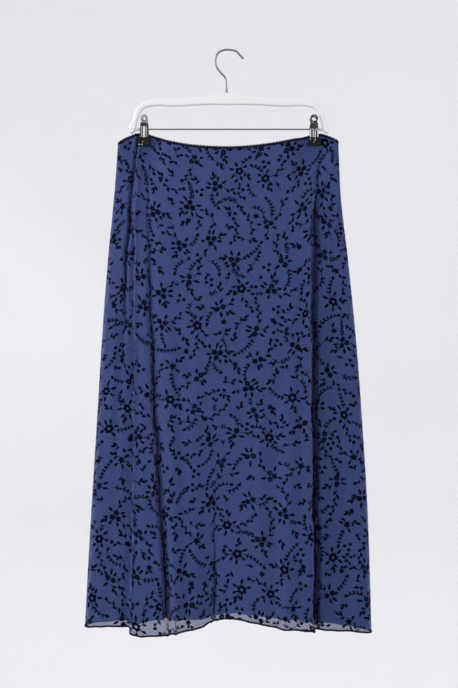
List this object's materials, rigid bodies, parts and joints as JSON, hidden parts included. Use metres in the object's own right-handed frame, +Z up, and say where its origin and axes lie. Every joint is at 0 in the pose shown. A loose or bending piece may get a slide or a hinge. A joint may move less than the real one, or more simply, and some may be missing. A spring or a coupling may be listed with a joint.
{
  "type": "midi skirt on a clip hanger",
  "caption": "Flared midi skirt of sheer printed cloth over a lining, hung flat by its elastic waist from a clip hanger with a wire hook.",
  "frame": {"origin": "the underside of the hook's crown, where the hanger rests on a peg or rail", "axes": "+X to the viewer's right across the hanger, +Y to the back, +Z up along the hook's shank"},
  "size_m": [0.4992, 0.0931, 1.0154],
  "materials": {
    "chiffon": "sheer crepe chiffon with a flocked print",
    "lining": "smooth woven lining",
    "elastic": "dull knitted elastic and overlock thread",
    "white_plastic": "moulded, soft gloss",
    "chrome": "plated wire and sheet",
    "dark_wire": "drawn wire",
    "rubber": "matte grip pad"
  },
  "bodies": {
    "root": {"front_panel": "chiffon", "back_panel": "chiffon", "lining_front": "lining", "lining_back": "lining", "waist_elastic": "elastic", "hanger_body": "white_plastic", "hanger_hook": "chrome", "hanger_bar": "dark_wire", "clip_left_plate_front": "chrome", "clip_left_plate_back": "chrome", "clip_left_ring_front": "chrome", "clip_left_ring_back": "chrome", "clip_left_spring": "chrome", "clip_left_pad_front": "rubber", "clip_left_pad_back": "rubber", "clip_right_plate_front": "chrome", "clip_right_plate_back": "chrome", "clip_right_ring_front": "chrome", "clip_right_ring_back": "chrome", "clip_right_spring": "chrome", "clip_right_pad_front": "rubber", "clip_right_pad_back": "rubber"}
  },
  "joints": []
}
